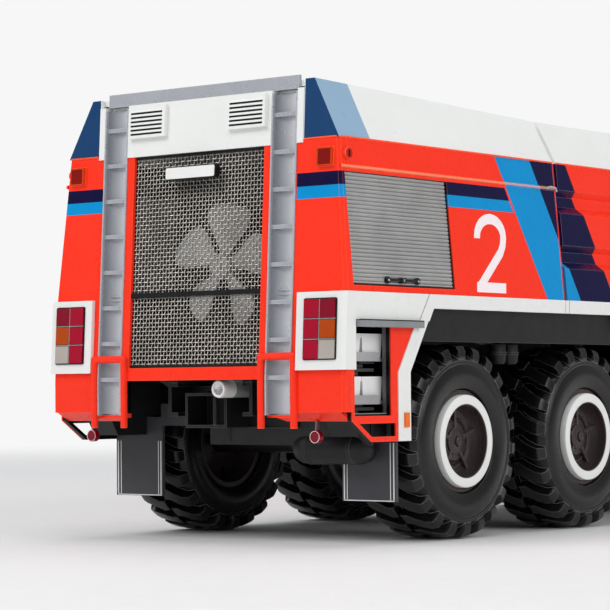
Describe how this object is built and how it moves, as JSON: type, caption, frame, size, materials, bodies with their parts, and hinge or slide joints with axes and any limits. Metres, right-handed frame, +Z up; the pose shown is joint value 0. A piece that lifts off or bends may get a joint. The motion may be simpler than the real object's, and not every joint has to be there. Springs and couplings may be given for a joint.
{
  "type": "airport fire truck scale model",
  "caption": "Scale model of an eight-wheeled airport fire truck with rear engine grille, ladders, lockers, long tank body and glazed cab.",
  "frame": {"origin": "centre of the overall box, on the ground", "axes": "+X to the vehicle's right, +Y forward, +Z up"},
  "size_m": [0.149, 0.504, 0.1582],
  "materials": {
    "chassis": "smooth",
    "running_gear": "smooth",
    "engine": "smooth",
    "red_body": "smooth",
    "mesh": "smooth",
    "white_body": "smooth",
    "silver": "smooth",
    "lenses": "smooth",
    "flaps": "smooth",
    "locker": "smooth",
    "canister": "smooth",
    "glazing": "smooth",
    "interior": "smooth",
    "trim": "smooth",
    "front_lenses": "smooth",
    "monitor": "smooth",
    "tyre": "smooth",
    "rim": "smooth"
  },
  "bodies": {
    "truck": {"frame_rails": "chassis", "crossmembers": "chassis", "subframe": "chassis", "springs": "chassis", "axles": "running_gear", "engine_block": "engine", "drive_shafts": "running_gear", "radiator": "engine", "tow_box": "chassis", "rear_end": "red_body", "rear_grille": "mesh", "rear_top_panel": "white_body", "ladders": "silver", "ladder_guards": "red_body", "lamp_panels": "white_body", "rear_lamps": "lenses", "mudflaps": "flaps", "number_plate": "white_body", "rear_sides": "red_body", "rear_roof": "white_body", "tank_sides": "red_body", "tank_roof": "white_body", "shutters": "silver", "locker_shelves": "locker", "canisters": "canister", "cab_front": "red_body", "cab_sides": "red_body", "cab_rear": "red_body", "cab_roof": "white_body", "cab_glass": "glazing", "cab_interior": "interior", "front_bumper": "white_body", "mirrors": "trim", "front_lamps": "front_lenses"},
    "wheel_left_1": {"tyre_left_1": "tyre", "rim_left_1": "rim"},
    "wheel_left_2": {"tyre_left_2": "tyre", "rim_left_2": "rim"},
    "wheel_left_3": {"tyre_left_3": "tyre", "rim_left_3": "rim"},
    "knuckle_left_3": {"knuckle_left_3": "running_gear"},
    "wheel_left_4": {"tyre_left_4": "tyre", "rim_left_4": "rim"},
    "knuckle_left_4": {"knuckle_left_4": "running_gear"},
    "wheel_right_1": {"tyre_right_1": "tyre", "rim_right_1": "rim"},
    "wheel_right_2": {"tyre_right_2": "tyre", "rim_right_2": "rim"},
    "wheel_right_3": {"tyre_right_3": "tyre", "rim_right_3": "rim"},
    "knuckle_right_3": {"knuckle_right_3": "running_gear"},
    "wheel_right_4": {"tyre_right_4": "tyre", "rim_right_4": "rim"},
    "knuckle_right_4": {"knuckle_right_4": "running_gear"},
    "cab_door_left": {"cab_door_left": "red_body"},
    "cab_door_right": {"cab_door_right": "red_body"},
    "cooling_fan": {"cooling_fan": "silver"},
    "roof_monitor_turret": {"roof_monitor_turret": "monitor"},
    "roof_monitor_barrel": {"roof_monitor_barrel": "monitor"},
    "bumper_monitor": {"bumper_monitor": "monitor"}
  },
  "joints": [
    {"name": "roll_left_1", "type": "hinge", "parent": "truck", "child": "wheel_left_1", "pos_m": [-0.0498, -0.18331, 0.0323], "axis": [1, 0, 0], "continuous": true},
    {"name": "roll_left_2", "type": "hinge", "parent": "truck", "child": "wheel_left_2", "pos_m": [-0.0498, -0.10711, 0.0323], "axis": [1, 0, 0], "continuous": true},
    {"name": "steer_left_3", "type": "hinge", "parent": "truck", "child": "knuckle_left_3", "pos_m": [-0.042, 0.02489, 0.0323], "axis": [0, 0, 1], "range_deg": [-20, 20]},
    {"name": "roll_left_3", "type": "hinge", "parent": "knuckle_left_3", "child": "wheel_left_3", "pos_m": [-0.0498, 0.02489, 0.0323], "axis": [1, 0, 0], "continuous": true},
    {"name": "steer_left_4", "type": "hinge", "parent": "truck", "child": "knuckle_left_4", "pos_m": [-0.042, 0.10089, 0.0323], "axis": [0, 0, 1], "range_deg": [-28, 28]},
    {"name": "roll_left_4", "type": "hinge", "parent": "knuckle_left_4", "child": "wheel_left_4", "pos_m": [-0.0498, 0.10089, 0.0323], "axis": [1, 0, 0], "continuous": true},
    {"name": "roll_right_1", "type": "hinge", "parent": "truck", "child": "wheel_right_1", "pos_m": [0.0498, -0.18331, 0.0323], "axis": [1, 0, 0], "continuous": true},
    {"name": "roll_right_2", "type": "hinge", "parent": "truck", "child": "wheel_right_2", "pos_m": [0.0498, -0.10711, 0.0323], "axis": [1, 0, 0], "continuous": true},
    {"name": "steer_right_3", "type": "hinge", "parent": "truck", "child": "knuckle_right_3", "pos_m": [0.042, 0.02489, 0.0323], "axis": [0, 0, 1], "range_deg": [-20, 20]},
    {"name": "roll_right_3", "type": "hinge", "parent": "knuckle_right_3", "child": "wheel_right_3", "pos_m": [0.0498, 0.02489, 0.0323], "axis": [1, 0, 0], "continuous": true},
    {"name": "steer_right_4", "type": "hinge", "parent": "truck", "child": "knuckle_right_4", "pos_m": [0.042, 0.10089, 0.0323], "axis": [0, 0, 1], "range_deg": [-28, 28]},
    {"name": "roll_right_4", "type": "hinge", "parent": "knuckle_right_4", "child": "wheel_right_4", "pos_m": [0.0498, 0.10089, 0.0323], "axis": [1, 0, 0], "continuous": true},
    {"name": "door_right", "type": "hinge", "parent": "truck", "child": "cab_door_right", "pos_m": [0.0625, 0.19089, 0.0863], "axis": [0, 0, 1], "range_deg": [0, 70]},
    {"name": "door_left", "type": "hinge", "parent": "truck", "child": "cab_door_left", "pos_m": [-0.0625, 0.19089, 0.0863], "axis": [0, 0, -1], "range_deg": [0, 70]},
    {"name": "fan_spin", "type": "hinge", "parent": "truck", "child": "cooling_fan", "pos_m": [0, -0.23351, 0.0909], "axis": [0, 1, 0], "continuous": true},
    {"name": "roof_monitor_swivel", "type": "hinge", "parent": "truck", "child": "roof_monitor_turret", "pos_m": [0, 0.17489, 0.1453], "axis": [0, 0, 1], "range_deg": [-170, 170]},
    {"name": "roof_monitor_tilt", "type": "hinge", "parent": "roof_monitor_turret", "child": "roof_monitor_barrel", "pos_m": [0, 0.17489, 0.1546], "axis": [1, 0, 0], "range_deg": [-5, 60]},
    {"name": "bumper_monitor_swivel", "type": "hinge", "parent": "truck", "child": "bumper_monitor", "pos_m": [0, 0.23999, 0.0626], "axis": [0, 0, 1], "range_deg": [-80, 80]}
  ],
  "couplings": [
    {"joint": "steer_left_4", "follows": "steer_right_4", "ratio": 1},
    {"joint": "steer_right_3", "follows": "steer_right_4", "ratio": 0.7},
    {"joint": "steer_left_3", "follows": "steer_right_4", "ratio": 0.7}
  ]
}
